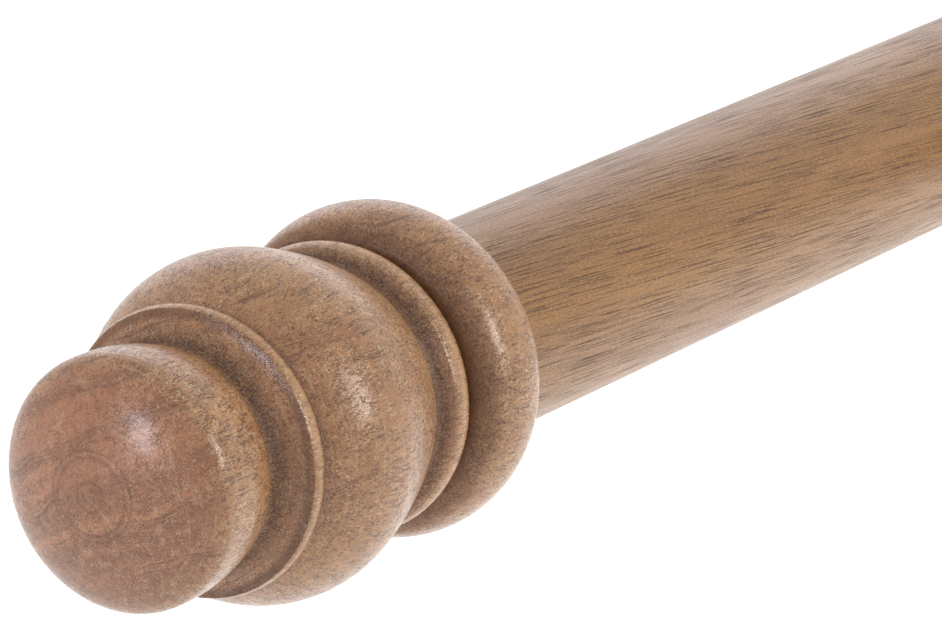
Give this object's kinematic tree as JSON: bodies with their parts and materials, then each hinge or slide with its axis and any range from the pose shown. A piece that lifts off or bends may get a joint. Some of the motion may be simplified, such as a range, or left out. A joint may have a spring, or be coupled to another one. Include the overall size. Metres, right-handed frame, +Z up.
{
  "type": "curtain rod with brackets",
  "caption": "Straight wooden curtain rod with a turned finial screwed to each end, resting in open-cup wall brackets with turned arms and round roses.",
  "frame": {"origin": "on the wall, midway between the brackets, at the centre of the wall-screw holes and level with the rod's axis", "axes": "+X along the rod, +Y into the wall, so the brackets stand out along -Y, and +Z up"},
  "size_m": [1.3118, 0.1127, 0.064],
  "materials": {
    "finial_wood": "stained beech under satin lacquer",
    "bracket_wood": "stained beech under satin lacquer",
    "oak_skin": "oak-effect skin, satin",
    "core_wood": "bare hardwood",
    "zinc_steel": "bright zinc plating",
    "brass": "brushed brass"
  },
  "bodies": {
    "brackets": {"left_wall_plate": "zinc_steel", "left_rosette": "bracket_wood", "left_arm": "bracket_wood", "left_cup": "bracket_wood", "left_hanger_bolt": "zinc_steel", "left_cup_screw": "zinc_steel", "right_wall_plate": "zinc_steel", "right_rosette": "bracket_wood", "right_arm": "bracket_wood", "right_cup": "bracket_wood", "right_hanger_bolt": "zinc_steel", "right_cup_screw": "zinc_steel"},
    "rod": {"rod_core": "core_wood", "rod_skin": "oak_skin"},
    "left_finial_screw": {"left_finial_screw": "zinc_steel"},
    "left_finial": {"left_finial": "finial_wood"},
    "left_retaining_screw": {"left_retaining_screw": "brass"},
    "right_finial_screw": {"right_finial_screw": "zinc_steel"},
    "right_finial": {"right_finial": "finial_wood"},
    "right_retaining_screw": {"right_retaining_screw": "brass"}
  },
  "joints": [
    {"name": "rod_lift", "type": "slide", "parent": "brackets", "child": "rod", "axis": [0, 0, 1], "range_m": [0, 0.06]},
    {"name": "left_finial_travel", "type": "slide", "parent": "rod", "child": "left_finial_screw", "axis": [-1, 0, 0], "range_m": [0, 0.0208]},
    {"name": "left_finial_turn", "type": "hinge", "parent": "left_finial_screw", "child": "left_finial", "pos_m": [-0.6, -0.09, 0], "axis": [-1, 0, 0], "range_deg": [0, 2880]},
    {"name": "left_retaining_screw_travel", "type": "slide", "parent": "brackets", "child": "left_retaining_screw", "axis": [0, 0, -1], "range_m": [0, 0.011]},
    {"name": "right_finial_travel", "type": "slide", "parent": "rod", "child": "right_finial_screw", "axis": [1, 0, 0], "range_m": [0, 0.0208]},
    {"name": "right_finial_turn", "type": "hinge", "parent": "right_finial_screw", "child": "right_finial", "pos_m": [0.6, -0.09, 0], "axis": [1, 0, 0], "range_deg": [0, 2880]},
    {"name": "right_retaining_screw_travel", "type": "slide", "parent": "brackets", "child": "right_retaining_screw", "axis": [0, 0, -1], "range_m": [0, 0.011]}
  ],
  "couplings": [
    {"joint": "left_finial_travel", "follows": "left_finial_turn", "m_per_rad": 0.0004138},
    {"joint": "right_finial_travel", "follows": "right_finial_turn", "m_per_rad": 0.0004138}
  ]
}
